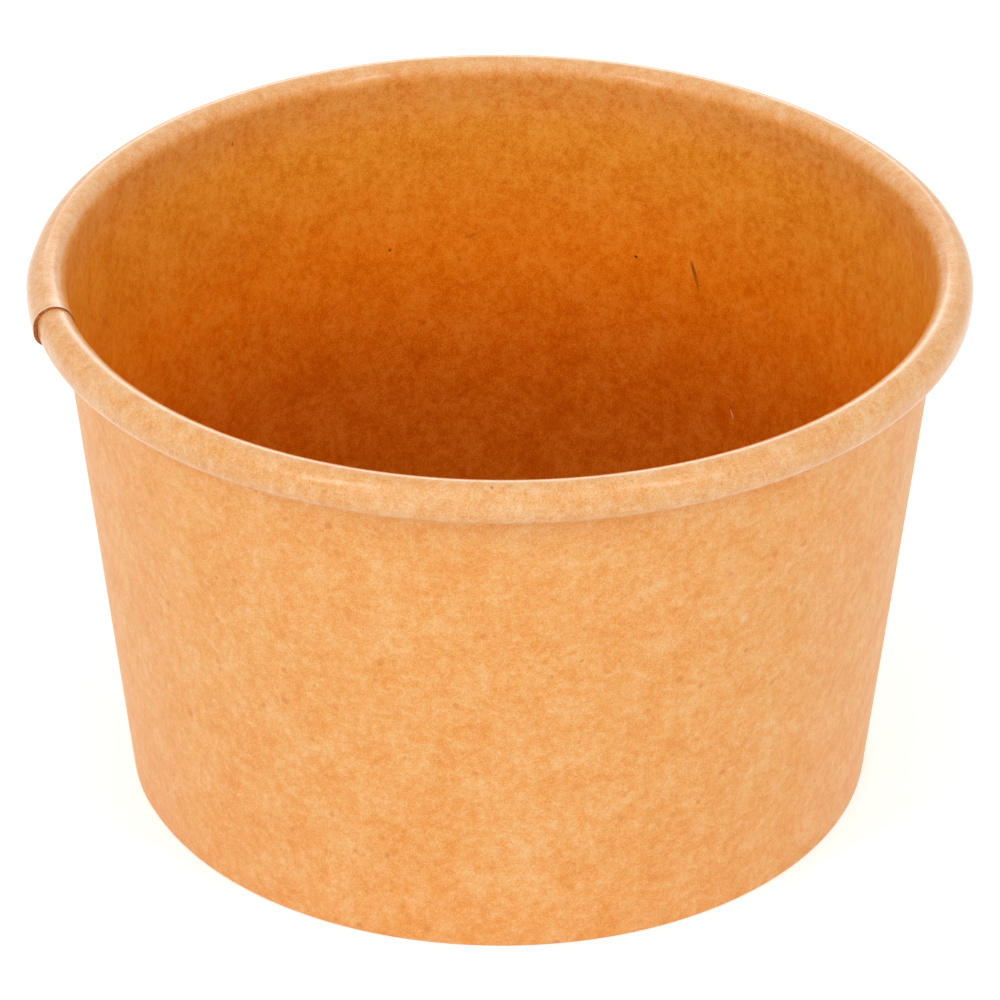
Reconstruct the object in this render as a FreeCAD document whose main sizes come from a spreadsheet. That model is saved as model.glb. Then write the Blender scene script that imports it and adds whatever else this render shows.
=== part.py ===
import FreeCAD, Part

import math
import os

import Sketcher
from FreeCAD import Placement, Rotation, Vector

# A plain kraft paper ice cream tub: one sheet of board wrapped into a cone, glued along a side seam,
# rolled outwards into a rim and folded round the skirt of a round bottom.
# Millimetres, +Z up. The origin is the centre of the standing edge, and azimuths are in degrees from +X.

# Driving dimensions
SIZES = {
    "rim_diameter": 95.0,  # across the rolled rim, outside
    "tub_height": 57.9,  # from the standing edge to the top of the rim
    "base_diameter": 77.0,  # where the wall's outer face would meet the ground
    "board": 0.4,  # thickness of the sidewall's board
    "curl_width": 3.7,  # rolled rim, across
    "curl_height": 4.15,  # rolled rim, top to underside
    "neck_radius": 15.0,  # gentle bend where the sloping wall turns upright under the rim
    "tuck_length": 0.5,  # free edge of the curl, turned up inside it
    "tuck_gap": 0.03,  # between that free edge and the wall
    "heel_height": 5.5,  # top of the edge folded up inside the base
    "fold_radius": 0.4,  # outer corners of the standing edge
    "lap_step": 0.3,  # what the second layer adds at the side seam, after pressing
    "seam_azimuth": 195.0,  # the inner layer's cut edge, at the left of the front view
    "lap_angle": 10.0,  # overlap of the two layers
    "ramp_angle": 12.0,  # each side of the overlap, where the sheet eases back to round
    "bottom_board": 0.4,  # thickness of the bottom's board
    "floor_height": 7.0,  # upper face of the bottom, above the standing edge
    "bottom_bend": 0.8,  # outer radius where the bottom turns down into its skirt
    "glue_gap": 0.03,  # between the bottom and the sidewall
}

# Sizes that follow from the driving ones
DERIVED = {
    "rim_side": "=rim_diameter / 2",
    "inner_side": "=rim_side - curl_width",
    "curl_top_centre": "=tub_height - curl_width / 2",
    "underside": "=tub_height - curl_height",
    "curl_low_centre": "=underside + (curl_width - board - tuck_gap) / 2",
    "base_side": "=base_diameter / 2",
    "fold_room": "=bottom_board + 2 * glue_gap",
    "neck_centre": "=inner_side + board - neck_radius",
    "foot_to_neck": "=sqrt((neck_centre - base_side) ^ 2 + underside ^ 2)",
    "wall_slope": "=atan((neck_centre - base_side) / underside) + asin(neck_radius / foot_to_neck)",
    "skirt_end": "=board + lap_step + glue_gap",
}

RAMP_STEPS = 3  # spans of a ramp, each with its own section
PARTS_FOLDER = "parts"


def fill_sheet(doc):
    """The spreadsheet that every sketch reads: driving dimensions first, then what follows from them."""
    sheet = doc.addObject("Spreadsheet::Sheet", "sizes")
    rows = [(name, str(value)) for name, value in SIZES.items()] + list(DERIVED.items())
    for row, (name, content) in enumerate(rows, start=1):
        sheet.set(f"A{row}", name)
        sheet.set(f"B{row}", content)
        sheet.setAlias(f"B{row}", name)
    doc.recompute()
    return sheet


def reader(sheet):
    """A function that gives a cell's value as a plain number, for the sketches' starting shapes."""
    def read(name):
        cell = getattr(sheet, name)
        return float(getattr(cell, "Value", cell))
    return read


def origin_plane(body, role):
    for feature in body.Origin.OriginFeatures:
        if feature.Role == role:
            return feature
    raise RuntimeError(f"{body.Label} has no {role}")


def upright_sketch(body, name, azimuth):
    """A sketch on a plane through the tub's axis: its x runs outwards at the azimuth, its y is height."""
    sketch = body.newObject("Sketcher::SketchObject", name)
    sketch.AttachmentSupport = [(origin_plane(body, "XZ_Plane"), "")]
    sketch.MapMode = "FlatFace"
    sketch.AttachmentOffset = Placement(Vector(0, 0, 0), Rotation(Vector(0, 1, 0), 1))
    sketch.setExpression("AttachmentOffset.Rotation.Angle", azimuth)
    return sketch


def bind(sketch, name, constraint, expression):
    """Adds a dimension to a sketch and ties it to the sheet."""
    index = sketch.addConstraint(constraint)
    sketch.renameConstraint(index, name)
    sketch.setExpression(f"Constraints.{name}", expression)


def arc(centre, radius, start, end):
    """A circular arc, counterclockwise from one angle to another, in degrees."""
    circle = Part.Circle(Vector(*centre, 0), Vector(0, 0, 1), radius)
    return Part.ArcOfCircle(circle, math.radians(start), math.radians(end))


def line(start, end):
    return Part.LineSegment(Vector(*start, 0), Vector(*end, 0))


START, END, CENTRE = 1, 2, 3  # the points of a sketch's line or arc
AXES, ORIGIN, H_AXIS, V_AXIS = -1, 1, -1, -2  # the sketch's own axes and the point where they cross


def sheet_section(body, read, name, azimuth, inner=0.0, outer=0.0, layers=0.0):
    """The sheet cut by a plane through the tub's axis: heel, fold, wall, neck and curl in one outline.

    inner, outer and layers are shares of the lap step: how far the wall moves outwards, how far the
    outside of the curl stands out, and how much thicker the section is, where two layers lie together.
    """
    step = read("lap_step")
    thick = read("board") + layers * step
    inner_side = read("inner_side") + inner * step
    wall_side = inner_side + thick
    outer_side = read("rim_side") + outer * step
    foot = read("base_side") + (inner + layers) * step
    fold_room = read("fold_room") + 2 * inner * step
    slope = read("wall_slope")
    cos_slope = math.cos(math.radians(slope))
    sin_slope = math.sin(math.radians(slope))
    tan_slope = sin_slope / cos_slope
    top, low = read("curl_top_centre"), read("curl_low_centre")
    neck_height, neck_radius = read("underside"), read("neck_radius")
    tuck_gap = read("tuck_gap") + (inner + outer - layers) * step
    tuck_side = wall_side + tuck_gap
    tuck_end = low + read("tuck_length")
    fold_radius, heel_height = read("fold_radius"), read("heel_height")
    top_centre = ((inner_side + outer_side) / 2, top)
    top_radius = (outer_side - inner_side) / 2
    low_centre = ((tuck_side + outer_side) / 2, low)
    low_radius = (outer_side - tuck_side) / 2
    inner_radius = neck_radius - read("board")
    inner_neck = (inner_side - inner_radius, neck_height)
    outer_neck = (wall_side - neck_radius, neck_height)

    def sloped(depth, height):
        """The point at a height on the line that lies this deep inside the wall's outer face."""
        return (foot - depth / cos_slope + height * tan_slope, height)

    def neck_foot(centre, radius):
        return (centre[0] + radius * cos_slope, centre[1] - radius * sin_slope)

    heel_depth = thick + fold_room
    outer_corner = sloped(fold_radius, fold_radius)
    inner_corner = sloped(heel_depth + thick - fold_radius, fold_radius)
    outer_tangent = (outer_corner[0] + fold_radius * cos_slope, fold_radius * (1 - sin_slope))
    inner_tangent = (inner_corner[0] - fold_radius * cos_slope, fold_radius * (1 + sin_slope))

    sketch = upright_sketch(body, name, azimuth)
    # Inner face of the wall, which the curl turns outwards, and the edges it passes on its way
    heel_in = line(sloped(heel_depth, heel_height), sloped(heel_depth, thick))
    fold_floor = line(sloped(heel_depth, thick), sloped(thick, thick))
    wall_in = line(sloped(thick, thick), neck_foot(inner_neck, inner_radius))
    neck_in = arc(inner_neck, inner_radius, -slope, 0)
    upright_in = line((inner_side, neck_height), (inner_side, top))
    curl_top = arc(top_centre, top_radius, 0, 180)
    curl_side = line((outer_side, top), (outer_side, low))
    curl_low = arc(low_centre, low_radius, 180, 360)
    tuck = line((tuck_side, low), (tuck_side, tuck_end))
    rim_edge = line((tuck_side, tuck_end), (tuck_side + thick, tuck_end))
    # Outer face of the wall, from the free edge inside the curl back to the heel
    tuck_back = line((tuck_side + thick, tuck_end), (tuck_side + thick, low))
    low_back = arc(low_centre, low_radius - thick, 180, 360)
    side_back = line((outer_side - thick, low), (outer_side - thick, top))
    top_back = arc(top_centre, top_radius - thick, 0, 180)
    upright_out = line((wall_side, top), (wall_side, neck_height))
    neck_out = arc(outer_neck, neck_radius, -slope, 0)
    wall_out = line(neck_foot(outer_neck, neck_radius), outer_tangent)
    corner_out = arc(outer_corner, fold_radius, -90, -slope)
    standing = line((outer_corner[0], 0), (inner_corner[0], 0))
    corner_in = arc(inner_corner, fold_radius, 180 - slope, 270)
    heel_out = line(inner_tangent, sloped(heel_depth + thick, heel_height))
    heel_edge = line(sloped(heel_depth + thick, heel_height), sloped(heel_depth, heel_height))
    outline = [
        heel_in, fold_floor, wall_in, neck_in, upright_in, curl_top, curl_side, curl_low, tuck,
        rim_edge, tuck_back, low_back, side_back, top_back, upright_out, neck_out, wall_out,
        corner_out, standing, corner_in, heel_out, heel_edge,
    ]
    sketch.addGeometry(outline, False)
    (HEEL_IN, FLOOR, WALL_IN, NECK_IN, UP_IN, TOP, SIDE, LOW, TUCK, RIM_EDGE, TUCK_B, LOW_B, SIDE_B, TOP_B,
     UP_OUT, NECK_OUT, WALL_OUT, CORNER_OUT, STANDING, CORNER_IN, HEEL_OUT, HEEL_EDGE) = range(len(outline))
    ground = sketch.addGeometry(Part.Point(Vector(foot, 0, 0)), True)

    def fix(kind, *where):
        sketch.addConstraint(Sketcher.Constraint(kind, *where))

    for first, first_end, second, second_end in (
        (HEEL_IN, END, FLOOR, START), (FLOOR, END, WALL_IN, START), (TUCK, END, RIM_EDGE, START),
        (RIM_EDGE, END, TUCK_B, START), (HEEL_OUT, END, HEEL_EDGE, START), (HEEL_EDGE, END, HEEL_IN, START),
        (TOP, CENTRE, TOP_B, CENTRE), (LOW, CENTRE, LOW_B, CENTRE),
    ):
        fix("Coincident", first, first_end, second, second_end)
    for first, first_end, second, second_end in (
        (WALL_IN, END, NECK_IN, START), (NECK_IN, END, UP_IN, START), (UP_IN, END, TOP, END),
        (TOP, START, SIDE, START), (SIDE, END, LOW, END), (LOW, START, TUCK, START),
        (TUCK_B, END, LOW_B, START), (LOW_B, END, SIDE_B, START), (SIDE_B, END, TOP_B, START),
        (TOP_B, END, UP_OUT, START), (UP_OUT, END, NECK_OUT, END), (NECK_OUT, START, WALL_OUT, START),
        (WALL_OUT, END, CORNER_OUT, END), (CORNER_OUT, START, STANDING, START),
        (STANDING, END, CORNER_IN, END), (CORNER_IN, START, HEEL_OUT, START),
    ):
        fix("Tangent", first, first_end, second, second_end)
    for edge in (UP_IN, SIDE, TUCK, TUCK_B, SIDE_B, UP_OUT):
        fix("Vertical", edge)
    for edge in (FLOOR, RIM_EDGE, STANDING, HEEL_EDGE):
        fix("Horizontal", edge)
    for edge in (WALL_IN, HEEL_IN, HEEL_OUT):
        fix("Parallel", WALL_OUT, edge)
    fix("Horizontal", NECK_IN, CENTRE, NECK_OUT, CENTRE)
    fix("PointOnObject", ground, START, H_AXIS)
    fix("PointOnObject", ground, START, WALL_OUT)
    fix("PointOnObject", STANDING, START, H_AXIS)

    def across(label, edge, end, value, expression):
        constraint = Sketcher.Constraint("DistanceX", AXES, ORIGIN, edge, end, value)
        bind(sketch, label, constraint, expression)

    def up(label, edge, end, value, expression):
        constraint = Sketcher.Constraint("DistanceY", AXES, ORIGIN, edge, end, value)
        bind(sketch, label, constraint, expression)

    across("foot", ground, START, foot, f"sizes.base_side + {inner + layers} * sizes.lap_step")
    across("inner_side", UP_IN, START, inner_side, f"sizes.inner_side + {inner} * sizes.lap_step")
    across("outer_side", SIDE, START, outer_side, f"sizes.rim_side + {outer} * sizes.lap_step")
    up("neck_height", NECK_OUT, CENTRE, neck_height, "sizes.underside")
    up("top_centre", TOP, CENTRE, top, "sizes.curl_top_centre")
    up("low_centre", LOW, CENTRE, low, "sizes.curl_low_centre")
    up("tuck_end", TUCK, END, tuck_end, "sizes.curl_low_centre + sizes.tuck_length")
    up("fold_floor", FLOOR, START, thick, f"sizes.board + {layers} * sizes.lap_step")
    up("heel_height", HEEL_EDGE, START, heel_height, "sizes.heel_height")
    bind(sketch, "thickness", Sketcher.Constraint("DistanceX", UP_IN, START, UP_OUT, END, thick),
         f"sizes.board + {layers} * sizes.lap_step")
    bind(sketch, "tuck_gap", Sketcher.Constraint("DistanceX", UP_OUT, END, TUCK, START, tuck_gap),
         f"sizes.tuck_gap + {inner + outer - layers} * sizes.lap_step")
    bind(sketch, "outer_neck", Sketcher.Constraint("Radius", NECK_OUT, neck_radius), "sizes.neck_radius")
    bind(sketch, "inner_neck", Sketcher.Constraint("Radius", NECK_IN, inner_radius),
         "sizes.neck_radius - sizes.board")
    bind(sketch, "outer_corner", Sketcher.Constraint("Radius", CORNER_OUT, fold_radius), "sizes.fold_radius")
    bind(sketch, "inner_corner", Sketcher.Constraint("Radius", CORNER_IN, fold_radius), "sizes.fold_radius")
    bind(sketch, "fold_room", Sketcher.Constraint("Distance", HEEL_IN, START, WALL_IN, fold_room),
         f"sizes.fold_room + {2 * inner} * sizes.lap_step")
    bind(sketch, "heel_thickness", Sketcher.Constraint("Distance", HEEL_OUT, END, HEEL_IN, thick),
         f"sizes.board + {layers} * sizes.lap_step")
    return sketch


def turned(body, sketch, name, angle):
    """A solid of revolution about the tub's axis, counterclockwise from its section."""
    feature = body.newObject("PartDesign::Revolution", name)
    feature.Profile = sketch
    feature.ReferenceAxis = (sketch, ["V_Axis"])
    feature.setExpression("Angle", angle)
    return feature


def ramp(body, read, name, start, towards, inner, outer):
    """The single sheet beside the seam, easing from the step's height back to round."""
    sections = []
    for index in range(RAMP_STEPS + 1):
        share = index / RAMP_STEPS
        ease = (1 + math.cos(math.pi * share)) / 2
        azimuth = f"{start} + {towards * share} * sizes.ramp_angle"
        label = f"{name}_section_{index}"
        sections.append(sheet_section(body, read, label, azimuth, inner * ease, outer * ease))
    feature = body.newObject("PartDesign::AdditiveLoft", name)
    feature.Profile = sections[0]
    feature.Sections = sections[1:]
    feature.Ruled = False
    return feature


def make_sidewall(doc, read):
    """One sheet: the round stretch, then the overlap at the seam, with a ramp each side of it."""
    body = doc.addObject("PartDesign::Body", "sidewall")
    seam = "sizes.seam_azimuth"
    lap_start = f"{seam} - sizes.lap_angle"
    round_section = sheet_section(body, read, "round_section", f"{seam} + sizes.ramp_angle")
    turned(body, round_section, "round_stretch", "360 - sizes.lap_angle - 2 * sizes.ramp_angle")
    ramp(body, read, "front_ramp", seam, 1, inner=1.0, outer=0.0)
    ramp(body, read, "back_ramp", lap_start, -1, inner=0.0, outer=1.0)
    lap_section = sheet_section(body, read, "lap_section", lap_start, outer=1.0, layers=1.0)
    turned(body, lap_section, "lap", "sizes.lap_angle")
    return body


def make_bottom(doc, read):
    """A disc of board whose edge is turned down into a skirt, parallel to the wall it is glued to."""
    body = doc.addObject("PartDesign::Body", "bottom")
    slope = read("wall_slope")
    cos_slope = math.cos(math.radians(slope))
    tan_slope = math.tan(math.radians(slope))
    thick, floor_height = read("bottom_board"), read("floor_height")
    outside = read("board") + read("glue_gap")
    bend, end = read("bottom_bend"), read("skirt_end")

    def sloped(depth, height):
        return (read("base_side") - depth / cos_slope + height * tan_slope, height)

    centre = sloped(outside + bend, floor_height - bend)

    def bend_foot(radius):
        return (centre[0] + radius * cos_slope, centre[1] - radius * math.sin(math.radians(slope)))

    sketch = upright_sketch(body, "bottom_section", "0")
    outline = [
        line((0, floor_height), (centre[0], floor_height)),
        arc(centre, bend, -slope, 90),
        line(bend_foot(bend), sloped(outside, end)),
        line(sloped(outside, end), sloped(outside + thick, end)),
        line(sloped(outside + thick, end), bend_foot(bend - thick)),
        arc(centre, bend - thick, -slope, 90),
        line((centre[0], floor_height - thick), (0, floor_height - thick)),
        line((0, floor_height - thick), (0, floor_height)),
    ]
    sketch.addGeometry(outline, False)
    UPPER, BEND, SKIRT, SKIRT_END, SKIRT_IN, BEND_IN, UNDER, MIDDLE = range(len(outline))
    wall = sketch.addGeometry(line(sloped(0, 0), sloped(0, floor_height)), True)

    def fix(kind, *where):
        sketch.addConstraint(Sketcher.Constraint(kind, *where))

    fix("Tangent", UPPER, END, BEND, END)
    fix("Tangent", BEND, START, SKIRT, START)
    fix("Coincident", SKIRT, END, SKIRT_END, START)
    fix("Coincident", SKIRT_END, END, SKIRT_IN, START)
    fix("Tangent", SKIRT_IN, END, BEND_IN, START)
    fix("Tangent", BEND_IN, END, UNDER, START)
    fix("Coincident", UNDER, END, MIDDLE, START)
    fix("Coincident", MIDDLE, END, UPPER, START)
    fix("Coincident", BEND, CENTRE, BEND_IN, CENTRE)
    for edge in (UPPER, SKIRT_END, UNDER):
        fix("Horizontal", edge)
    fix("Vertical", MIDDLE)
    fix("PointOnObject", MIDDLE, END, V_AXIS)
    fix("Parallel", wall, SKIRT)
    fix("Parallel", wall, SKIRT_IN)
    fix("PointOnObject", wall, START, H_AXIS)
    bind(sketch, "wall_foot", Sketcher.Constraint("DistanceX", AXES, ORIGIN, wall, START, read("base_side")),
         "sizes.base_side")
    bind(sketch, "wall_top", Sketcher.Constraint("DistanceY", AXES, ORIGIN, wall, END, floor_height),
         "sizes.floor_height")
    bind(sketch, "wall_slope", Sketcher.Constraint("Angle", wall, math.radians(90 - slope)),
         "90 deg - sizes.wall_slope")
    bind(sketch, "floor_height", Sketcher.Constraint("DistanceY", AXES, ORIGIN, UPPER, START, floor_height),
         "sizes.floor_height")
    bind(sketch, "skirt_end", Sketcher.Constraint("DistanceY", AXES, ORIGIN, SKIRT, END, end),
         "sizes.skirt_end")
    bind(sketch, "glue_line", Sketcher.Constraint("Distance", SKIRT, END, wall, outside),
         "sizes.board + sizes.glue_gap")
    bind(sketch, "bend", Sketcher.Constraint("Radius", BEND, bend), "sizes.bottom_bend")
    bind(sketch, "thickness", Sketcher.Constraint("DistanceY", MIDDLE, START, MIDDLE, END, thick),
         "sizes.bottom_board")
    turned(body, sketch, "bottom_turned", "360")
    return body


def check(doc, bodies):
    """Stops on any object that failed to compute, and on any sub-part that isn't one valid solid."""
    for item in doc.Objects:
        if "Invalid" in item.State or "Error" in item.State:
            raise RuntimeError(f"{item.Name} failed: {item.State}")
        if item.isDerivedFrom("Sketcher::SketchObject") and item.solve() != 0:
            raise RuntimeError(f"{item.Name} can't be solved")
    for body in bodies:
        shape = body.Shape
        if shape.isNull() or not shape.isValid() or len(shape.Solids) != 1:
            raise RuntimeError(f"{body.Label} isn't one valid solid")


def main():
    doc = FreeCAD.newDocument("ice_cream_tub")
    read = reader(fill_sheet(doc))
    bodies = [make_sidewall(doc, read), make_bottom(doc, read)]
    doc.recompute()
    check(doc, bodies)
    os.makedirs(PARTS_FOLDER, exist_ok=True)
    for body in bodies:
        shape = body.Shape
        shape.exportStep(os.path.join(PARTS_FOLDER, f"{body.Label}.step"))
        box = shape.optimalBoundingBox(False, False)
        print(f"{body.Label}: {shape.Volume:.0f} cubic mm, {len(shape.Faces)} faces, "
              f"x {box.XMin:.2f} to {box.XMax:.2f}, y {box.YMin:.2f} to {box.YMax:.2f}, "
              f"z {box.ZMin:.2f} to {box.ZMax:.2f}")


main()
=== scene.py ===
# %% [markdown]
# # A kraft paper ice cream tub
#
# This notebook dresses one empty paper tub of plain brown board, seen from the front and a little
# above. The real tub is two pieces of board. The sidewall is a single sheet that a machine wraps into
# a cone, glues along a side seam, rolls outwards at the top and folds inwards at the foot. The bottom
# is a disc with its edge turned down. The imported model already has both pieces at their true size, so
# it is loaded first and everything else is fitted to it.

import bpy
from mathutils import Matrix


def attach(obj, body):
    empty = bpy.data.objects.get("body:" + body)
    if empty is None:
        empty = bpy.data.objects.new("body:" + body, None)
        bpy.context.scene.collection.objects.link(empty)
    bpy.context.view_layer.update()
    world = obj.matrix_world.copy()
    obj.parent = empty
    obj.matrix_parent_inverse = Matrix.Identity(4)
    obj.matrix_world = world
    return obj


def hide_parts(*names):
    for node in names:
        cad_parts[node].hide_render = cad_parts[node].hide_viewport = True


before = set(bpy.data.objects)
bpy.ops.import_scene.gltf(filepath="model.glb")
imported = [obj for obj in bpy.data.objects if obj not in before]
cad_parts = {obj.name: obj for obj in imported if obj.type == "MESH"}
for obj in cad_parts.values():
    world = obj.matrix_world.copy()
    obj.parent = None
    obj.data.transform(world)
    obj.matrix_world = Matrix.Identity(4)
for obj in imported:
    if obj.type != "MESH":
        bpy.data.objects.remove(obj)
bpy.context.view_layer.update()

# %% Blender's own modules
import math

import bmesh
import bpy
from mathutils import Matrix, Vector

scene = bpy.context.scene
scene.view_settings.view_transform = "Standard"
print("colours are shown by the", scene.view_settings.view_transform, "view")

# %% [markdown]
# ## The camera
#
# A photograph of a tub tells where the camera was: the rim and the foot are both circles, and how
# flat each looks gives the height of the view, while the ratio between them gives its distance. A
# camera could be moved by eye until the outlines meet, but circles of known size allow a fit, and the
# numbers below are its result. The view is about thirty degrees above level, from half a metre away,
# through a long lens. The camera leans by a quarter of a degree.

# %% The camera
VIEW_HEIGHT = math.radians(30.384)
VIEW_LEAN = 0.0043
VIEW_AIM = Vector((-0.00004, 0.0, 0.02924))
VIEW_DISTANCE = 0.5774

looking = Vector((0.0, math.cos(VIEW_HEIGHT), -math.sin(VIEW_HEIGHT)))
level_right = Vector((1.0, 0.0, 0.0))
level_up = level_right.cross(looking)
right = level_right * math.cos(VIEW_LEAN) + level_up * math.sin(VIEW_LEAN)
upwards = right.cross(looking)
camera_lens = bpy.data.cameras.new("camera")
camera_lens.sensor_width = 36.0
camera_lens.lens = 201.2
camera_lens.clip_start = 0.01
camera = bpy.data.objects.new("camera", camera_lens)
camera.matrix_world = (Matrix.Translation(VIEW_AIM - looking * VIEW_DISTANCE)
                       @ Matrix((right, upwards, -looking)).transposed().to_4x4())
scene.collection.objects.link(camera)
scene.camera = camera
print("camera at", [round(value, 4) for value in camera.matrix_world.translation])

# %% [markdown]
# ## Node helpers
#
# Every finish below is a small web of shader nodes. Placing them by hand takes three or four lines
# for each node, which hides the idea of the material. One helper that makes a node, sets its
# options and fills its inputs keeps each web readable.

# %% Place a shader node
def place_node(web, kind, fill=None, **options):
    """Adds a node; fill maps an input's name or number to a value or to another node's output."""
    node = web.nodes.new(kind)
    for option, value in options.items():
        setattr(node, option, value)
    for key, value in (fill or {}).items():
        socket = node.inputs[key]
        if isinstance(value, bpy.types.NodeSocket):
            web.links.new(value, socket)
        else:
            socket.default_value = value
    return node


def calculate(web, operation, *values, clamp=False):
    """A Math node's result."""
    return place_node(web, "ShaderNodeMath", dict(enumerate(values)), operation=operation,
                      use_clamp=clamp).outputs[0]


def fade_between(web, value, low, high, start=0.0, end=1.0):
    """Turns a value into one that runs smoothly from start at low to end at high."""
    return place_node(web, "ShaderNodeMapRange", {0: value, 1: low, 2: high, 3: start, 4: end},
                      interpolation_type="SMOOTHSTEP").outputs[0]


def mix_colours(web, share, first, second, blend="MIX"):
    """The colour that lies share of the way from the first to the second."""
    mixer = place_node(web, "ShaderNodeMix", {"Factor": share}, data_type="RGBA", blend_type=blend)
    for socket, value in ((mixer.inputs[6], first), (mixer.inputs[7], second)):
        if isinstance(value, bpy.types.NodeSocket):
            web.links.new(value, socket)
        else:
            socket.default_value = value
    return mixer.outputs[2]


def seen_directly(web):
    """1 where the camera, a gloss or a clear piece looks straight at the surface, 0 elsewhere."""
    rays = place_node(web, "ShaderNodeLightPath").outputs
    mirrored = calculate(web, "MAXIMUM", rays["Is Glossy Ray"], rays["Is Transmission Ray"])
    return calculate(web, "MAXIMUM", rays["Is Camera Ray"], mirrored)


def written_colour(red, green, blue):
    """A colour as an image editor writes it, 0 to 255, turned into the linear values Blender uses."""
    linear = [(part / 255) / 12.92 if part <= 10 else ((part / 255 + 0.055) / 1.055) ** 2.4
              for part in (red, green, blue)]
    return (*linear, 1.0)


print("kraft brown is", [round(value, 3) for value in written_colour(241, 173, 104)])

# %% [markdown]
# ## The table
#
# The tub stands on a plain white surface with no visible horizon. A curved paper backdrop would do,
# but a large flat sheet is simpler and gives a shadow that can be trusted from every side. The
# sheet is a pale matt colour, and some extra white is added only where the camera or a gloss looks
# straight at it, so that it reads as white while the tub's shadow stays.

# %% The table
table_shape = bmesh.new()
bmesh.ops.create_grid(table_shape, x_segments=8, y_segments=8, size=3.0)
table_mesh = bpy.data.meshes.new("table")
table_shape.to_mesh(table_mesh)
table_shape.free()
table = bpy.data.objects.new("table", table_mesh)
scene.collection.objects.link(table)

white_paper = bpy.data.materials.new("white_paper")
white_paper.use_nodes = True
web = white_paper.node_tree
web.nodes.clear()
WHITE = (1.0, 1.0, 1.0, 1.0)
EXTRA_WHITE = 0.46
matt = place_node(web, "ShaderNodeBsdfDiffuse", {"Color": (0.86, 0.86, 0.86, 1.0)})
brightness = calculate(web, "MULTIPLY", seen_directly(web), EXTRA_WHITE)
extra = place_node(web, "ShaderNodeEmission", {"Color": WHITE, "Strength": brightness})
both = place_node(web, "ShaderNodeAddShader", {0: matt.outputs[0], 1: extra.outputs[0]})
place_node(web, "ShaderNodeOutputMaterial", {"Surface": both.outputs[0]})
table_mesh.materials.append(white_paper)
print("table is", table.dimensions.x, "m wide")

# %% [markdown]
# ## The light
#
# The picture is a bright, nearly shadowless product photograph. White walls and a white ceiling
# send soft light from everywhere, which the world does here. Lamps alone would need many panels to
# do the same. A broad panel in front lights the near side of the wall and is kept out of the gloss,
# two narrow strips stand left and right of the camera, because the front of the rim shows two soft
# gloss spots there, and a low panel behind draws the thin white line along the rim's inner edge.

# %% The world
world = bpy.data.worlds.new("white_room")
scene.world = world
world.use_nodes = True
web = world.node_tree
web.nodes.clear()
ROOM_LIGHT = 0.66
strength = fade_between(web, seen_directly(web), 0.0, 1.0, ROOM_LIGHT, 1.0)
glow = place_node(web, "ShaderNodeBackground", {"Color": WHITE, "Strength": strength})
place_node(web, "ShaderNodeOutputWorld", {"Surface": glow.outputs[0]})
print("room light", ROOM_LIGHT)


# %% The panels
def hang_panel(name, stand, aim, wide, high, watts):
    """A soft rectangular lamp that faces its aim."""
    lamp = bpy.data.lights.new(name, "AREA")
    lamp.shape = "RECTANGLE"
    lamp.size, lamp.size_y = wide, high
    lamp.energy = watts
    panel = bpy.data.objects.new(name, lamp)
    turned = (Vector(aim) - Vector(stand)).to_track_quat("-Z", "Y").to_matrix().to_4x4()
    panel.matrix_world = Matrix.Translation(stand) @ turned
    scene.collection.objects.link(panel)
    return panel


TUB_MIDDLE, RIM_MIDDLE = (0.0, 0.0, 0.03), (0.0, 0.0, 0.05)
front_panel = hang_panel("front_panel", (-0.15, -0.95, 0.5), TUB_MIDDLE, wide=0.9, high=0.6, watts=1.1)
front_panel.visible_glossy = False
hang_panel("left_strip", (-0.56, -0.6, 0.73), RIM_MIDDLE, wide=0.11, high=0.55, watts=1.8)
hang_panel("right_strip", (0.56, -0.6, 0.73), RIM_MIDDLE, wide=0.11, high=0.55, watts=1.35)
hang_panel("back_panel", (0.0, 1.2, 0.42), RIM_MIDDLE, wide=0.6, high=0.3, watts=1.6)

# %% [markdown]
# ## The outline of the sheet
#
# Cut the tub in half and the sidewall shows as one thin ribbon. It starts at the free edge that
# stands up inside the foot, turns round the standing fold, climbs the sloping wall, bends upright
# at the neck, rolls over and down into the rim, and ends tucked up inside the roll. The ribbon could
# be a line that Solidify thickens, but its tightest folds are no wider than the board, where that
# would pinch. So both faces of the board are drawn, as one closed outline.
#
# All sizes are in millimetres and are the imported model's own.

# %% Sizes of the sheet
BOARD = 0.4
RIM_SIDE, CURL_WIDTH, CURL_HEIGHT = 47.5, 3.7, 4.15
TUB_HEIGHT, BASE_SIDE = 57.9, 38.5
NECK_RADIUS, FOLD_RADIUS, HEEL_HEIGHT = 15.0, 0.4, 5.5
TUCK_LENGTH, TUCK_GAP, GLUE_GAP = 0.5, 0.03, 0.03
LAP_STEP = 0.3

INNER_SIDE = RIM_SIDE - CURL_WIDTH
UNDERSIDE = TUB_HEIGHT - CURL_HEIGHT
CURL_TOP = TUB_HEIGHT - CURL_WIDTH / 2
CURL_LOW = UNDERSIDE + (CURL_WIDTH - BOARD - TUCK_GAP) / 2
neck_centre = INNER_SIDE + BOARD - NECK_RADIUS
SLOPE = (math.atan((neck_centre - BASE_SIDE) / UNDERSIDE)
         + math.asin(NECK_RADIUS / math.hypot(neck_centre - BASE_SIDE, UNDERSIDE)))
print("the wall slopes by", round(math.degrees(SLOPE), 3), "degrees")


# %% [markdown]
# ## A pen for outlines
#
# An outline is easiest to think of as a pen's path: straight here, round there. Bmesh has an
# operator for each. Extruding one vertex and moving it draws a line, and spinning one vertex about a
# centre draws an arc. The pen below also writes down what each stretch is, because the coated face,
# the plain face and the cut edges of board have different finishes.

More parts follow.
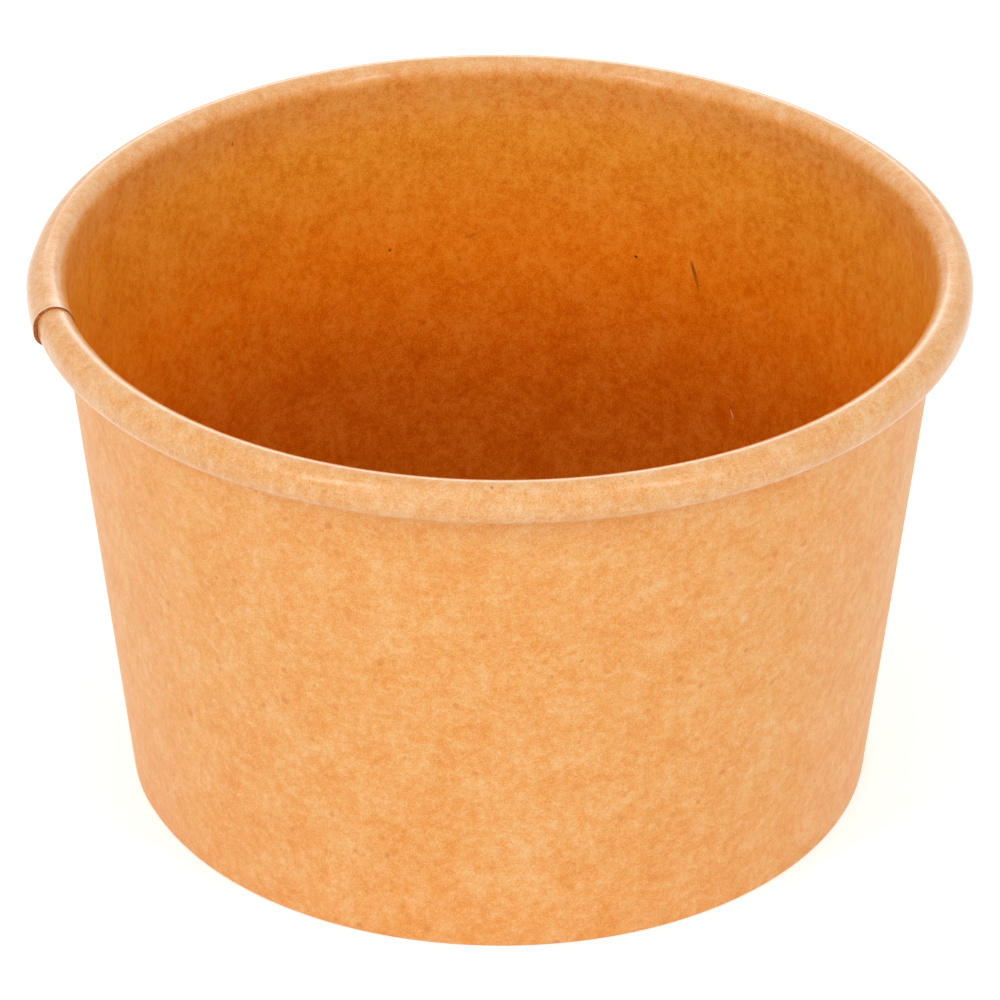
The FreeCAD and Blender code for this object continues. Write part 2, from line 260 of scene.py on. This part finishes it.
# %% The pen
class Pen:
    """Draws an outline in the upright plane y = 0, x outwards and z up."""

    def __init__(self, x, z):
        self.shape = bmesh.new()
        self.first = self.tip = self.shape.verts.new((x, 0.0, z))
        self.finish = "edge"
        self.finishes = [self.finish]

    def line(self, x, z, pieces=1):
        start, end = self.tip.co.copy(), Vector((x, 0.0, z))
        for piece in range(1, pieces + 1):
            drawn = bmesh.ops.extrude_vert_indiv(self.shape, verts=[self.tip])
            self.tip = drawn["verts"][0]
            self.tip.co = start.lerp(end, piece / pieces)
            self.finishes.append(self.finish)

    def arc(self, centre, turn, steps):
        """Turns about the centre, counterclockwise where turn is positive."""
        drawn = bmesh.ops.spin(self.shape, geom=[self.tip], cent=(centre[0], 0.0, centre[1]),
                               axis=(0.0, -1.0, 0.0), dvec=(0.0, 0.0, 0.0), angle=turn, steps=steps,
                               use_merge=False, use_normal_flip=False, use_duplicate=False)
        self.tip = [item for item in drawn["geom_last"] if isinstance(item, bmesh.types.BMVert)][0]
        self.finishes += [self.finish] * steps

    def close(self):
        self.shape.edges.new((self.tip, self.first))
        self.shape.verts.index_update()
        self.shape.verts.ensure_lookup_table()
        return self


# %% Draw the sheet's outline
def draw_sheet(inner=0.0, outer=0.0, lift=0.0):
    """inner and outer are how far the wall and the outside of the rim stand out at the seam."""
    inner_side, outer_side, foot = INNER_SIDE + inner, RIM_SIDE + outer, BASE_SIDE + inner
    room = BOARD + 2 * GLUE_GAP + 2 * inner
    tuck_side = inner_side + BOARD + TUCK_GAP + max(inner + outer, 0.0)
    top = ((inner_side + outer_side) / 2, CURL_TOP)
    low = ((tuck_side + outer_side) / 2, CURL_LOW)
    necks = inner_side + BOARD - NECK_RADIUS
    half_turn = math.pi

    def sloped(depth, height):
        return foot - depth / math.cos(SLOPE) + height * math.tan(SLOPE), height

    def neck_foot(radius):
        return necks + radius * math.cos(SLOPE), UNDERSIDE - radius * math.sin(SLOPE)

    heel = BOARD + room
    pen = Pen(*sloped(heel, HEEL_HEIGHT))
    pen.finish = "coated"
    pen.line(*sloped(heel, BOARD + lift))
    pen.line(*sloped(BOARD, BOARD + lift))
    pen.line(*neck_foot(NECK_RADIUS - BOARD), pieces=10)
    pen.arc((necks, UNDERSIDE), SLOPE, 4)
    pen.line(inner_side, CURL_TOP)
    pen.arc(top, -half_turn, 40)
    pen.line(outer_side, CURL_LOW)
    pen.arc(low, -half_turn, 26)
    pen.line(tuck_side, CURL_LOW + TUCK_LENGTH)
    pen.finish = "edge"
    pen.line(tuck_side + BOARD, CURL_LOW + TUCK_LENGTH)
    pen.finish = "plain"
    pen.line(tuck_side + BOARD, CURL_LOW)
    pen.arc(low, half_turn, 14)
    pen.line(outer_side - BOARD, CURL_TOP)
    pen.arc(top, half_turn, 14)
    pen.line(inner_side + BOARD, UNDERSIDE)
    pen.arc((necks, UNDERSIDE), -SLOPE, 4)
    corner = sloped(FOLD_RADIUS, FOLD_RADIUS + lift)
    reach = FOLD_RADIUS * math.cos(SLOPE), FOLD_RADIUS * math.sin(SLOPE)
    pen.line(corner[0] + reach[0], corner[1] - reach[1], pieces=10)
    pen.arc(corner, SLOPE - half_turn / 2, 5)
    corner = sloped(heel + BOARD - FOLD_RADIUS, FOLD_RADIUS + lift)
    pen.line(corner[0], lift)
    pen.arc(corner, -SLOPE - half_turn / 2, 6)
    pen.line(*sloped(heel + BOARD, HEEL_HEIGHT), pieces=2)
    return pen.close()


round_sheet = draw_sheet()
print("the sheet's outline has", len(round_sheet.shape.verts), "points")

# %% [markdown]
# ## The side seam
#
# Where the sheet's two ends overlap, the end that comes from behind lies inside the tub and so ends
# up on top of the rolled rim, and the other end runs on underneath it. The step between them shows
# on the rim at the left of the picture. A groove or a line of colour could fake it. Here the sheet
# really overlaps: the outline is spun by ten degrees more than a full turn, and near its two ends
# it is eased towards two other outlines, one that rides over and one that passes under. The last
# few degrees of the upper end have sprung up a little from the rim, as glued board does.

# %% How the sheet is wrapped
SEAM = 195.0
LAP, RAMP, LIP, FRAYED_HIGHLIGHT_SPAN = 10.0, 12.0, 3.4, 0.5
STRETCHES = [(0.0, FRAYED_HIGHLIGHT_SPAN, 2), (FRAYED_HIGHLIGHT_SPAN, LIP, 7), (LIP, LAP, 7), (LAP, LAP + RAMP, 8),
             (LAP + RAMP, 360.0 - RAMP, 217), (360.0 - RAMP, 360.0, 8), (360.0, 360.0 + LAP, 6)]
PRESSED, SPRUNG, LEANING = 0.12, 0.14, -0.02
OUTLINES = {"over": draw_sheet(outer=LAP_STEP, lift=LAP_STEP), "under": draw_sheet(inner=PRESSED),
            "lip": draw_sheet(outer=LAP_STEP + SPRUNG, lift=LAP_STEP, inner=LEANING)}
print("a full turn and the lap take", sum(steps for start, end, steps in STRETCHES), "steps")


def ease(share):
    """Runs smoothly from 0 to 1."""
    share = min(max(share, 0.0), 1.0)
    return (1 - math.cos(math.pi * share)) / 2


def outline_at(turned):
    """The sheet's outline after this many degrees of wrapping, as points outwards and up."""
    over = 1 - ease((turned - LAP) / RAMP)
    under = ease((turned - 360 + RAMP) / RAMP)
    lip = (1 - ease(turned / LIP)) * over
    points = []
    for number, vert in enumerate(round_sheet.shape.verts):
        plain = Vector(vert.co)
        others = {name: pen.shape.verts[number].co for name, pen in OUTLINES.items()}
        points.append(plain + (others["over"] - plain) * over + (others["under"] - plain) * under
                      + (others["lip"] - others["over"]) * lip)
    return points


print("the upper end of the sheet rises to", round(max(point.z for point in outline_at(0.0)), 3), "mm")


# %% Wrap the sheet
def wrap_sheet():
    """Spins the outline by a full turn and the lap, and says how far round each ring lies."""
    shape = round_sheet.shape.copy()
    shape.verts.ensure_lookup_table()
    number = shape.verts.layers.int.new("number")
    shape.verts.layers.float.new("burr_highlight")
    for vert in shape.verts:
        vert[number] = vert.index
    to_seam = Matrix.Rotation(math.radians(SEAM), 3, "Z")
    bmesh.ops.rotate(shape, verts=shape.verts[:], cent=(0, 0, 0), matrix=to_seam)
    rings = [(0.0, shape.verts[:])]
    ends = [shape.edges[:]]
    front = shape.verts[:] + shape.edges[:]
    for start, end, steps in STRETCHES:
        for step in range(1, steps + 1):
            spun = bmesh.ops.spin(shape, geom=front, cent=(0, 0, 0), axis=(0, 0, -1), dvec=(0, 0, 0),
                                  angle=math.radians((end - start) / steps), steps=1, use_merge=False,
                                  use_normal_flip=False, use_duplicate=False)
            front = spun["geom_last"]
            rings.append((start + (end - start) * step / steps,
                          [item for item in front if isinstance(item, bmesh.types.BMVert)]))
    ends.append([item for item in front if isinstance(item, bmesh.types.BMEdge)])
    return shape, rings, ends


def ease_rings(shape, rings):
    """Moves each ring to its own outline and marks the frayed end of the sheet for its painted highlight.
    """
    number, burr_highlight = shape.verts.layers.int["number"], shape.verts.layers.float["burr_highlight"]
    for turned, verts in rings:
        points = outline_at(turned)
        azimuth = math.radians(SEAM - turned)
        for vert in verts:
            point = points[vert[number]]
            vert.co = (point.x * math.cos(azimuth), point.x * math.sin(azimuth), point.z)
            vert[burr_highlight] = max(0.0, 1.0 - turned / FRAYED_HIGHLIGHT_SPAN)


sidewall_shape, sheet_rings, sheet_ends = wrap_sheet()
ease_rings(sidewall_shape, sheet_rings)
print("wrapped", len(sidewall_shape.verts), "points and", len(sidewall_shape.faces), "faces")

# %% Close the sheet's two ends and turn it into an object
FINISHES = ["coated", "plain", "edge"]
CREASE = math.radians(35)
sheet_number = sidewall_shape.verts.layers.int["number"]
for face in sidewall_shape.faces:
    numbers = sorted({vert[sheet_number] for vert in face.verts})
    later = 0 if numbers[0] == 0 and numbers[-1] > 1 else numbers[-1]
    face.material_index = FINISHES.index(round_sheet.finishes[later])
for end in sheet_ends:
    for face in bmesh.ops.edgeloop_fill(sidewall_shape, edges=end)["faces"]:
        face.material_index = FINISHES.index("edge")


def finish_board(name, shape):
    """Scales a shape from millimetres to metres and makes it an object, smooth but for its creases."""
    bmesh.ops.scale(shape, vec=(0.001, 0.001, 0.001), verts=shape.verts[:])
    bmesh.ops.recalc_face_normals(shape, faces=shape.faces[:])
    mesh = bpy.data.meshes.new(name)
    shape.to_mesh(mesh)
    shape.free()
    mesh.shade_smooth()
    mesh.set_sharp_from_angle(angle=CREASE)
    piece = bpy.data.objects.new(name, mesh)
    scene.collection.objects.link(piece)
    print(name, "has", sum(len(face.vertices) - 2 for face in mesh.polygons), "triangles")
    return piece


wrapped_sidewall = finish_board("wrapped_sidewall", sidewall_shape)

# %% [markdown]
# ## The bottom
#
# The bottom is a flat disc whose edge is turned down into a skirt. The skirt is glued between the
# wall and the folded heel, so only the disc shows, and under it the bend. A cylinder primitive
# would have no bend. The same pen draws half of its section, and a full spin closes it. The two
# points on the axis are spun in place, so their copies are merged into one pole each.

# %% The bottom
FLOOR_HEIGHT, BEND = 7.0, 0.8


def draw_bottom():
    """Half of the bottom's section: the disc's upper face, the skirt, and the underside."""
    depth = BOARD + GLUE_GAP
    skirt_end = BOARD + LAP_STEP + GLUE_GAP
    inner_bend = BEND - BOARD

    def sloped(deep, height):
        return BASE_SIDE - deep / math.cos(SLOPE) + height * math.tan(SLOPE), height

    centre = sloped(depth + BEND, FLOOR_HEIGHT - BEND)
    pen = Pen(0.0, FLOOR_HEIGHT)
    pen.finish = "coated"
    pen.line(centre[0], FLOOR_HEIGHT, pieces=12)
    pen.arc(centre, -SLOPE - math.pi / 2, 8)
    pen.line(*sloped(depth, skirt_end))
    pen.finish = "edge"
    pen.line(*sloped(depth + BOARD, skirt_end))
    pen.finish = "plain"
    pen.line(centre[0] + inner_bend * math.cos(SLOPE), centre[1] - inner_bend * math.sin(SLOPE))
    pen.arc(centre, SLOPE + math.pi / 2, 6)
    pen.line(0.0, FLOOR_HEIGHT - BOARD, pieces=12)
    return pen


bottom_pen = draw_bottom()
bottom_shape = bottom_pen.shape
bottom_number = bottom_shape.verts.layers.int.new("number")
for index, vert in enumerate(bottom_shape.verts):
    vert[bottom_number] = index
bmesh.ops.spin(bottom_shape, geom=bottom_shape.verts[:] + bottom_shape.edges[:], cent=(0, 0, 0),
               axis=(0, 0, 1), dvec=(0, 0, 0), angle=2 * math.pi, steps=180, use_merge=True,
               use_normal_flip=False, use_duplicate=False)
for face in bottom_shape.faces:
    later = max(vert[bottom_number] for vert in face.verts)
    face.material_index = FINISHES.index(bottom_pen.finishes[later])
bmesh.ops.remove_doubles(bottom_shape, verts=bottom_shape.verts[:], dist=0.0005)
glued_bottom = finish_board("glued_bottom", bottom_shape)

# %% [markdown]
# ## Kraft board: the cloudy brown
#
# Kraft board is pressed from unbleached wood fibres that never lie quite evenly, so it is cloudy:
# soft blotches about a millimetre across, a finer grain inside them, and wide slow changes of tone.
# A photograph could be wrapped round the tub, but noise at three sizes gives the same cloudiness,
# has no seams and works from any side. The group gives the clouds as one value, so that each finish
# can colour them its own way.

# %% A node group's sockets
def new_group(name, takes, gives):
    """An empty shader group; takes and gives list its sockets by name and kind."""
    group = bpy.data.node_groups.new(name, "ShaderNodeTree")
    kinds = {"value": "NodeSocketFloat", "colour": "NodeSocketColor", "vector": "NodeSocketVector"}
    for direction, sockets in (("INPUT", takes), ("OUTPUT", gives)):
        for label, kind, *default in sockets:
            socket = group.interface.new_socket(label, in_out=direction, socket_type=kinds[kind])
            if default:
                socket.default_value = default[0]
    return group, place_node(group, "NodeGroupInput"), place_node(group, "NodeGroupOutput")


# %% The clouds
def make_clouds():
    group, taken, given = new_group("board_clouds", [("Place", "vector"), ("Grain", "value", 0.7)],
                                    [("Clouds", "value"), ("Tooth", "value")])
    place = taken.outputs["Place"]

    def noise(scale, detail, roughness):
        fill = {"Vector": place, "Scale": scale, "Detail": detail, "Roughness": roughness}
        return place_node(group, "ShaderNodeTexNoise", fill).outputs["Fac"]

    blotches = noise(1000.0, 3.0, 0.6)
    grain = noise(6200.0, 1.0, 0.6)
    slow = noise(240.0, 3.0, 0.55)
    soft = calculate(group, "ADD", calculate(group, "MULTIPLY", blotches, 0.6),
                     calculate(group, "MULTIPLY", slow, 0.4))
    fine = calculate(group, "MULTIPLY", calculate(group, "SUBTRACT", grain, 0.5), taken.outputs["Grain"])
    clouds = calculate(group, "ADD", soft, fine)
    group.links.new(clouds, given.inputs["Clouds"])
    group.links.new(calculate(group, "ADD", calculate(group, "MULTIPLY", grain, 0.6),
                              calculate(group, "MULTIPLY", blotches, 0.4)), given.inputs["Tooth"])
    return group


board_clouds = make_clouds()
print(board_clouds.name, "has", len(board_clouds.nodes), "nodes")

# %% [markdown]
# ## Kraft board: fibres and flecks
#
# Close up, pale single fibres lie in the brown like fine hairs, and here and there a dark shive, a
# splinter of bark that the pulping missed, stands out. Hairs could be scattered as curves, far too
# many of them. A cheaper trick is to take the thin line along which a smooth noise crosses its
# middle value, and to break it into short pieces with a second noise. The flecks are the centres of
# a stretched Voronoi pattern, most of them switched off by the random number of their cell.

# %% The fibres
def make_fibres():
    group, taken, given = new_group("board_fibres", [("Place", "vector"), ("Size", "value", 320.0)],
                                    [("Fibres", "value")])
    place, size = taken.outputs["Place"], taken.outputs["Size"]
    fill = {"Vector": place, "Scale": size, "Detail": 1.5, "Roughness": 0.45, "Distortion": 0.6}
    wander = place_node(group, "ShaderNodeTexNoise", fill).outputs["Fac"]
    away = calculate(group, "ABSOLUTE", calculate(group, "SUBTRACT", wander, 0.5))
    hair = fade_between(group, away, 0.0035, 0.012, 1.0, 0.0)
    fill = {"Vector": place, "Scale": calculate(group, "MULTIPLY", size, 2.1), "Detail": 0.0}
    breaks = place_node(group, "ShaderNodeTexNoise", fill).outputs["Fac"]
    kept = fade_between(group, breaks, 0.52, 0.6)
    group.links.new(calculate(group, "MULTIPLY", hair, kept), given.inputs["Fibres"])
    return group


board_fibres = make_fibres()
print(board_fibres.name, "has", len(board_fibres.nodes), "nodes")


# %% The flecks
def make_flecks():
    group, taken, given = new_group("board_flecks", [("Place", "vector"), ("Cells", "value", 190.0),
                                                     ("Share", "value", 0.2), ("Width", "value", 0.05)],
                                    [("Flecks", "value")])
    place, count, share, width = taken.outputs[:4]
    fill = {"Vector": place, "Scale": count, "Randomness": 1.0}
    cells = place_node(group, "ShaderNodeTexVoronoi", fill, feature="F1").outputs
    lottery = place_node(group, "ShaderNodeSeparateColor", {0: cells["Color"]}).outputs
    chosen = calculate(group, "LESS_THAN", lottery[0], share)
    width = calculate(group, "MULTIPLY", width, calculate(group, "ADD", lottery[1], 0.4))
    dot = fade_between(group, cells["Distance"], width, calculate(group, "MULTIPLY", width, 0.45))
    group.links.new(calculate(group, "MULTIPLY", dot, chosen), given.inputs["Flecks"])
    return group


board_flecks = make_flecks()
print(board_flecks.name, "has", len(board_flecks.nodes), "nodes")

# %% [markdown]
# ## The shives that lie on this tub
#
# A few marks on the photographed tub stand out from the rest: one long dark splinter on the far
# wall, a handful of dark dots, and a pale scratch. Random flecks would never fall just there. Each
# mark is a soft ellipse about a point of the surface, measured along the board and across it, and
# one small group draws them all.

# %% One shive
def make_shive():
    group, taken, given = new_group("one_shive", [("Place", "vector"), ("Where", "vector"),
                                                  ("Along", "vector"), ("Long", "value", 0.001),
                                                  ("Wide", "value", 0.0002)], [("Mark", "value")])
    place, where, direction, length, width = taken.outputs[:5]
    away = place_node(group, "ShaderNodeVectorMath", {0: place, 1: where}, operation="SUBTRACT").outputs[0]
    along = place_node(group, "ShaderNodeVectorMath", {0: away, 1: direction},
                       operation="DOT_PRODUCT").outputs["Value"]
    far = place_node(group, "ShaderNodeVectorMath", {0: away}, operation="LENGTH").outputs["Value"]

    def squared(value):
        return calculate(group, "POWER", value, 2.0)

    across = calculate(group, "MAXIMUM", calculate(group, "SUBTRACT", squared(far), squared(along)), 0.0)
    across = calculate(group, "DIVIDE", calculate(group, "SQRT", across), width)
    along = calculate(group, "DIVIDE", calculate(group, "ABSOLUTE", along), length)
    reach = calculate(group, "ADD", squared(along), squared(across))
    group.links.new(fade_between(group, reach, 0.1, 1.0, 1.0, 0.0), given.inputs["Mark"])
    return group


one_shive = make_shive()
DARK, PALE = written_colour(88, 36, 10), written_colour(246, 206, 176)
SHIVES = {
    "coated_kraft": [
        ((0.02098, 0.03640, 0.03620), (0.29, -0.26, -0.92), 0.0021, 0.00028, DARK, 0.5),
        ((0.02080, 0.03655, 0.03690), (0.29, -0.26, -0.92), 0.0011, 0.00022, DARK, 0.4),
        ((-0.01213, 0.04031, 0.03709), (0.6, 0.0, 0.8), 0.00028, 0.0002, DARK, 0.8),
        ((0.01463, 0.03944, 0.03685), (0.9, 0.0, -0.4), 0.00032, 0.0002, DARK, 0.9),
        ((-0.02867, 0.03318, 0.05348), (0.3, 0.0, 0.95), 0.0003, 0.00016, DARK, 0.7),
        ((-0.04282, 0.00949, 0.05355), (0.0, -0.2, 0.97), 0.0003, 0.00014, DARK, 0.8),
        ((-0.00322, 0.04207, 0.03804), (0.95, 0.05, 0.3), 0.0012, 0.00026, DARK, 0.3),
        ((0.02518, 0.03163, 0.02167), (0.35, -0.3, -0.88), 0.00085, 0.00013, PALE, 0.75),
        ((-0.00082, -0.04635, 0.05775), (0.5, -0.85, 0.0), 0.0003, 0.00016, DARK, 0.55),
    ],
    "plain_kraft": [
        ((0.02373, -0.03520, 0.03670), (0.5, 0.3, 0.8), 0.0006, 0.0004, PALE, 0.6),
        ((-0.03978, -0.01815, 0.04850), (0.0, 0.0, 1.0), 0.0003, 0.0002, PALE, 0.7),
    ],
}
print("shives", {name: len(shives) for name, shives in SHIVES.items()})

# %% [markdown]
# ## The lined inside, with painted shade
#
# The coating that keeps ice cream from soaking the board lies on its inner face. Like varnish on
# wood it wets the fibres, so the inside is a deep orange brown. The tint laid here also holds painted
# shade: it darkens the inside against the rim, and more and more towards the foot. This stands for
# the shade of the tub's own walls and for light that bounces about inside over brown board again and
# again. A darker board all over the inner face would be simpler, but the same face rolls out over the
# rim, where it is stretched thin and pale. So the tint depends on how deep inside the tub a point lies.

# %% The lining and its painted shade
# The tint's stops run from under the rim to the foot: the coating's deeper colour, with painted shade that
# grows towards the foot.
LINING_AND_SHADE = [(0.0, (1.0, 0.88, 0.5)), (0.12, (1.0, 0.78, 0.15)), (0.4, (1.0, 0.57, 0.018)),
          (0.68, (0.75, 0.36, 0.001)), (1.0, (0.66, 0.36, 0.001))]
LINED_WITHIN, LINED_BELOW = (0.0445, 0.0455), (0.0564, 0.0576)
INSIDE_COAT = 0.12
TINT_TOP, TINT_FOOT = 0.056, 0.007


def place_lining_and_shade(web, colour, clouds):
    """Tints the board inside the tub, a little under the rim and deeply at the foot, and says where; the
    tint is the coating's colour with painted shade that deepens towards the foot.
    """
    place = place_node(web, "ShaderNodeTexCoord").outputs["Object"]
    x, y, z = place_node(web, "ShaderNodeSeparateXYZ", {0: place}).outputs
    level = place_node(web, "ShaderNodeCombineXYZ", {0: x, 1: y}).outputs[0]
    out = place_node(web, "ShaderNodeVectorMath", {0: level}, operation="LENGTH").outputs["Value"]
    inside = calculate(web, "MULTIPLY", fade_between(web, out, *LINED_WITHIN, 1.0, 0.0),
                       fade_between(web, z, *LINED_BELOW, 1.0, 0.0))
    fill = {0: z, 1: TINT_TOP, 2: TINT_FOOT, 3: 0.0, 4: 1.0}
    depth = place_node(web, "ShaderNodeMapRange", fill).outputs[0]
    tint = place_node(web, "ShaderNodeValToRGB", {"Fac": depth})
    stops = tint.color_ramp.elements
    for stop, (position, shade) in zip([stops[0], stops[1]], [LINING_AND_SHADE[0], LINING_AND_SHADE[-1]]):
        stop.position, stop.color = position, (*shade, 1.0)
    for position, shade in LINING_AND_SHADE[1:-1]:
        stops.new(position).color = (*shade, 1.0)
    # Painted shade: the board is multiplied darker the deeper inside the tub it lies.
    tinted = mix_colours(web, 1.0, colour, tint.outputs["Color"], blend="MULTIPLY")
    patchy = place_node(web, "ShaderNodeMapRange", {0: clouds, 1: 0.3, 2: 0.7, 3: 0.92, 4: 1.08}).outputs[0]
    patchy = place_node(web, "ShaderNodeCombineColor", {0: patchy, 1: patchy, 2: patchy}).outputs[0]
    patchy = mix_colours(web, 1.0, tinted, patchy, blend="MULTIPLY")
    dry = calculate(web, "MULTIPLY", fade_between(web, clouds, 0.46, 0.68), 0.22)
    patchy = mix_colours(web, dry, patchy, written_colour(226, 150, 84))
    return mix_colours(web, inside, colour, patchy), inside


print("the lining has", len(LINING_AND_SHADE), "tints")

# %% [markdown]
# ## The board's finish
#
# Both faces start as the same brown board. The outside is plain and nearly matt. The coated face,
# which also shows on the rim, has a clear soft gloss. A single roughness would give either, but a
# coat layer over a rough base is what the real face is, and it catches the white room along the
# sides of the rim. At the seam the knife has frayed the sheet's edge, and the last half degree there
# is painted paler: a painted highlight for the light that the frayed edge catches.

# %% Groups and brown board
def place_group(web, group, **fill):
    node = place_node(web, "ShaderNodeGroup", node_tree=group)
    for label, value in fill.items():
        socket = node.inputs[label]
        if isinstance(value, bpy.types.NodeSocket):
            web.links.new(value, socket)
        else:
            socket.default_value = value
    return node.outputs


def stretched(web, place, x, y, z):
    """The same coordinates, squeezed or stretched."""
    return place_node(web, "ShaderNodeMapping", {"Vector": place, "Scale": (x, y, z)}).outputs["Vector"]


RUSTY, BARK = written_colour(216, 116, 40), written_colour(112, 50, 12)


def lay(web, colour, mask, strength, shade):
    """Lays a shade over a colour where the mask is, at most as strongly as said."""
    return mix_colours(web, calculate(web, "MULTIPLY", mask, strength), colour, shade)


def brown_board(web, place, clouds, deep, middle, pale):
    """The clouds' three browns, with pale and deep fibres, rusty blotches and dark flecks of bark."""
    tone = place_node(web, "ShaderNodeValToRGB", {"Fac": clouds["Clouds"]})
    tone.color_ramp.elements[0].position, tone.color_ramp.elements[0].color = 0.3, deep
    tone.color_ramp.elements[1].position, tone.color_ramp.elements[1].color = 0.7, pale
    tone.color_ramp.elements.new(0.5).color = middle
    fibres = place_group(web, board_fibres, Place=place)
    lying = place_group(web, board_fibres, Place=stretched(web, place, 1.0, 1.0, 1.7), Size=230.0)
    rusty = place_group(web, board_flecks, Place=place, Cells=420.0, Share=0.45, Width=0.18)
    bark = place_group(web, board_flecks, Place=stretched(web, place, 1.0, 1.0, 0.45), Cells=120.0,
                       Share=0.07, Width=0.026)
    colour = lay(web, tone.outputs["Color"], fibres["Fibres"], 0.5, pale)
    colour = lay(web, colour, lying["Fibres"], 0.3, deep)
    colour = lay(web, colour, rusty["Flecks"], 0.4, RUSTY)
    return lay(web, colour, bark["Flecks"], 0.4, BARK)


print("rusty blotches are", [round(value, 3) for value in RUSTY])


# %% Make both boards
# A painted highlight: this pale colour, laid on the frayed end of the sheet, stands for the light that edge
# catches.
FRAYED_PALE_HIGHLIGHT = written_colour(252, 226, 200)


def make_board(name, deep, middle, pale, roughness, coat, coat_roughness, lined_and_shaded=False):
    """Kraft board in three browns: what its clouds sink to, its usual tone and what they rise to."""
    material = bpy.data.materials.new(name)
    material.use_nodes = True
    web = material.node_tree
    skin = web.nodes["Principled BSDF"]
    place = place_node(web, "ShaderNodeTexCoord").outputs["Object"]
    clouds = place_group(web, board_clouds, Place=place)
    colour = brown_board(web, place, clouds, deep, middle, pale)
    if lined_and_shaded:
        colour, inside = place_lining_and_shade(web, colour, clouds["Clouds"])
        web.links.new(fade_between(web, inside, 0.0, 1.0, coat, INSIDE_COAT), skin.inputs["Coat Weight"])
        skin.inputs["Specular IOR Level"].default_value = 0.25
    for where, along, long, wide, shade, strength in SHIVES[name]:
        mark = place_group(web, one_shive, Place=place, Where=where, Along=Vector(along).normalized(),
                           Long=long, Wide=wide)["Mark"]
        colour = lay(web, colour, mark, strength, shade)
    burr_highlight = place_node(web, "ShaderNodeAttribute", attribute_name="burr_highlight").outputs["Fac"]
    # Painted highlight on the frayed end of the sheet at the seam.
    colour = lay(web, colour, burr_highlight, 0.8, FRAYED_PALE_HIGHLIGHT)
    fill = {"Strength": 0.12, "Distance": 0.00004, "Height": clouds["Tooth"]}
    bump = place_node(web, "ShaderNodeBump", fill)
    web.links.new(colour, skin.inputs["Base Color"])
    web.links.new(bump.outputs["Normal"], skin.inputs["Normal"])
    web.links.new(fade_between(web, clouds["Tooth"], 0.35, 0.65, roughness - 0.06, roughness + 0.06),
                  skin.inputs["Roughness"])
    if not lined_and_shaded:
        skin.inputs["Coat Weight"].default_value = coat
    skin.inputs["Coat Roughness"].default_value = coat_roughness
    print(name, "has", len(web.nodes), "nodes")
    return material


coated_kraft = make_board("coated_kraft", written_colour(236, 155, 76), written_colour(245, 180, 110),
                          written_colour(250, 202, 150), 0.38, 0.6, 0.18, lined_and_shaded=True)
plain_kraft = make_board("plain_kraft", written_colour(240, 148, 46), written_colour(248, 171, 84),
                         written_colour(252, 197, 130), 0.6, 0.4, 0.4)

# %% [markdown]
# ## The cut edge
#
# Where the knife went through, the board shows its open fibres, which drink in the coating and turn
# a dull brown. The thin end faces of the sheet are coloured a dark brown that is partly that soaked
# colour and partly painted shade for the shadow on the cut face. The narrow gap behind the edge is
# darker still in its own shadow. A line two tenths of a millimetre wide is all that shows.

# %% The cut edge
cut_edge_and_shade = bpy.data.materials.new("cut_edge_and_shade")
cut_edge_and_shade.use_nodes = True
web = cut_edge_and_shade.node_tree
place = place_node(web, "ShaderNodeTexCoord").outputs["Object"]
open_fibres = place_group(web, board_clouds, Place=stretched(web, place, 1.0, 1.0, 2.0), Grain=0.6)
dry = fade_between(web, open_fibres["Clouds"], 0.35, 0.65)
# The cut face's dark brown: soaked fibres, with painted shade for the shadow that lies on the edge.
edge_colour_and_shade = mix_colours(web, dry, written_colour(132, 68, 24), written_colour(194, 116, 56))
web.links.new(edge_colour_and_shade, web.nodes["Principled BSDF"].inputs["Base Color"])
web.nodes["Principled BSDF"].inputs["Roughness"].default_value = 0.85
for piece in (wrapped_sidewall, glued_bottom):
    for material in (coated_kraft, plain_kraft, cut_edge_and_shade):
        piece.data.materials.append(material)
print("materials", [material.name for material in wrapped_sidewall.data.materials])

# %% [markdown]
# ## Put the dressed pieces in their places
#
# The drawn sheet and bottom follow the imported solids closely, with a finer surface and a real
# overlap. Each takes the place of its solid and rides on the tub's only body.

# %% Places
for piece, node, slot in ((wrapped_sidewall, "sidewall", "sidewall_board"),
                          (glued_bottom, "bottom", "bottom_board")):
    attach(piece, "root")
    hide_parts(node)
